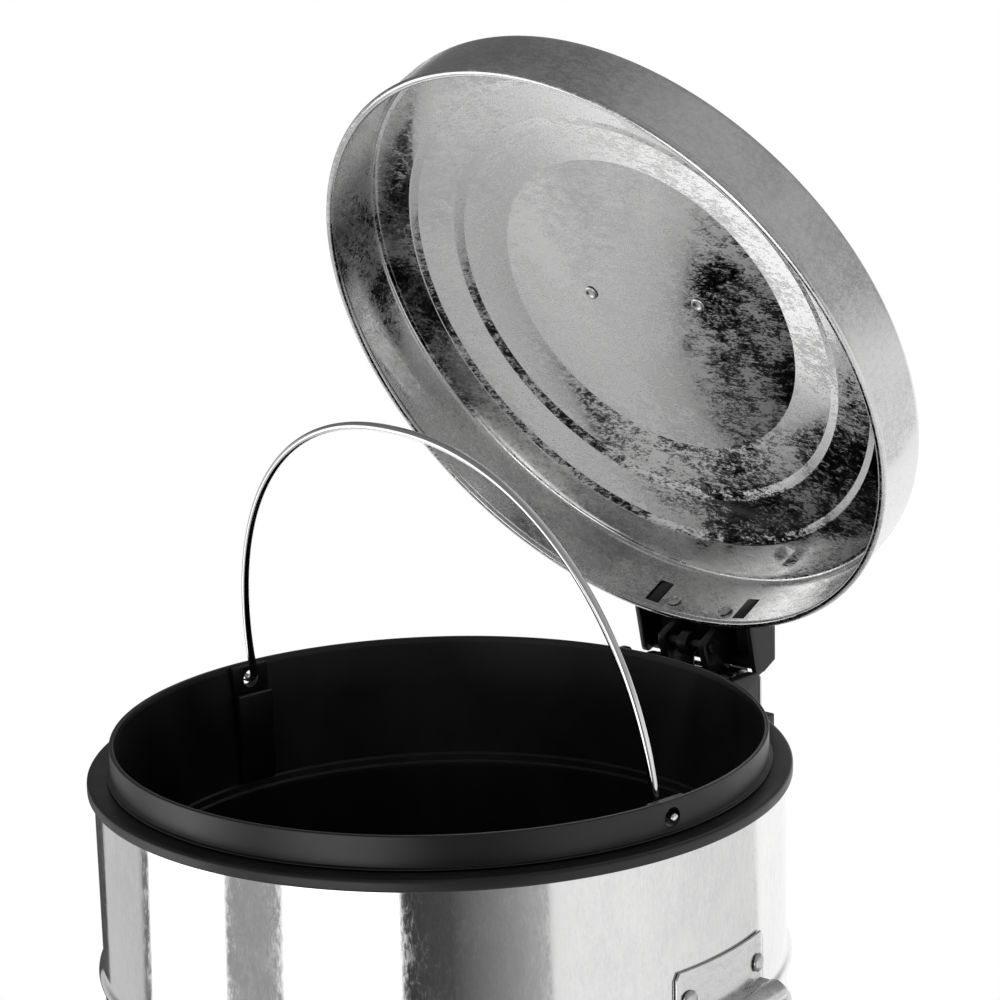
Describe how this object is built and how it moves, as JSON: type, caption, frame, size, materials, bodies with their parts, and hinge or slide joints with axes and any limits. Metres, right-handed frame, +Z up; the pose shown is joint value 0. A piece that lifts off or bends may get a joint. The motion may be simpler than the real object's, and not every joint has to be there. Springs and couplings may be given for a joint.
{
  "type": "oily waste can",
  "caption": "Round galvanised steel waste can with a plastic bucket and wire bail, a hinged steel lid opened by a foot pedal, and drop handles on its sides.",
  "frame": {"origin": "middle of the floor rectangle that the open can fills, on the ground", "axes": "+Z up, +Y towards the hinge at the back, -Y towards the pedal, +X towards the right-hand side handle"},
  "size_m": [0.3114, 0.3926, 0.688],
  "materials": {
    "galvanised_steel": "bright galvanised sheet with fine spangle and rolling grain",
    "bright_steel": "bright drawn wire",
    "zinc_plated_steel": "dull zinc plate",
    "black_plastic": "moulded black polyethylene, satin, and black coating on the push rod",
    "black_rubber": "matt black rubber"
  },
  "bodies": {
    "can": {"outer_body": "galvanised_steel", "bottom_pan": "galvanised_steel", "base_ring": "black_plastic", "foot_front_right": "black_rubber", "foot_rear_right": "black_rubber", "foot_rear_left": "black_rubber", "foot_front_left": "black_rubber", "top_ring": "black_plastic", "hinge_pin": "bright_steel", "pin_clip_left": "zinc_plated_steel", "pin_clip_right": "zinc_plated_steel", "rod_cover": "galvanised_steel", "cover_rivet_upper_right": "zinc_plated_steel", "cover_rivet_upper_left": "zinc_plated_steel", "cover_rivet_lower_right": "zinc_plated_steel", "cover_rivet_lower_left": "zinc_plated_steel", "inner_bucket": "black_plastic", "pivot_bracket": "galvanised_steel", "pivot_pin": "bright_steel", "handle_plate_right": "galvanised_steel", "handle_plate_left": "galvanised_steel", "plate_rivet_right_front": "zinc_plated_steel", "plate_rivet_right_rear": "zinc_plated_steel", "plate_rivet_left_front": "zinc_plated_steel", "plate_rivet_left_rear": "zinc_plated_steel"},
    "lid": {"lid": "galvanised_steel", "lid_handle": "galvanised_steel", "lid_handle_rivet_left": "zinc_plated_steel", "lid_handle_rivet_right": "zinc_plated_steel", "hinge_bracket": "black_plastic", "bracket_rivet_left": "zinc_plated_steel", "bracket_rivet_right": "zinc_plated_steel", "rod_pin": "black_plastic"},
    "bail": {"bail": "bright_steel"},
    "push_rod": {"push_rod": "black_plastic", "lever_pin": "bright_steel"},
    "pedal": {"pedal_lever": "zinc_plated_steel", "pedal_pad": "black_rubber"},
    "handle_right": {"drop_handle_right": "bright_steel"},
    "handle_left": {"drop_handle_left": "bright_steel"}
  },
  "joints": [
    {"name": "lid_hinge", "type": "hinge", "parent": "can", "child": "lid", "pos_m": [0, 0.17501, 0.3917], "axis": [-1, 0, 0], "range_deg": [-62.9, 0]},
    {"name": "pedal_hinge", "type": "hinge", "parent": "can", "child": "pedal", "pos_m": [0, 0.06751, 0.034], "axis": [1, 0, 0], "range_deg": [-10.4, 0]},
    {"name": "rod_pivot", "type": "hinge", "parent": "lid", "child": "push_rod", "pos_m": [0, 0.16748, 0.40862], "axis": [-1, 0, 0], "range_deg": [0, 61.3]},
    {"name": "bail_hinge", "type": "hinge", "parent": "can", "child": "bail", "pos_m": [0, 0.00451, 0.403], "axis": [0.9954, -0.0958, 0], "range_deg": [0, 72.5]},
    {"name": "handle_right_hinge", "type": "hinge", "parent": "can", "child": "handle_right", "pos_m": [0.14895, 0.0131, 0.32], "axis": [0.0576, -0.9983, 0], "range_deg": [0, 95]},
    {"name": "handle_left_hinge", "type": "hinge", "parent": "can", "child": "handle_left", "pos_m": [-0.14895, -0.00408, 0.32], "axis": [-0.0576, 0.9983, 0], "range_deg": [0, 95]}
  ],
  "couplings": [
    {"joint": "pedal_hinge", "follows": "lid_hinge", "ratio": 0.1653},
    {"joint": "rod_pivot", "follows": "lid_hinge", "ratio": -0.9733},
    {"joint": "bail_hinge", "follows": "lid_hinge", "ratio": -1.151}
  ]
}
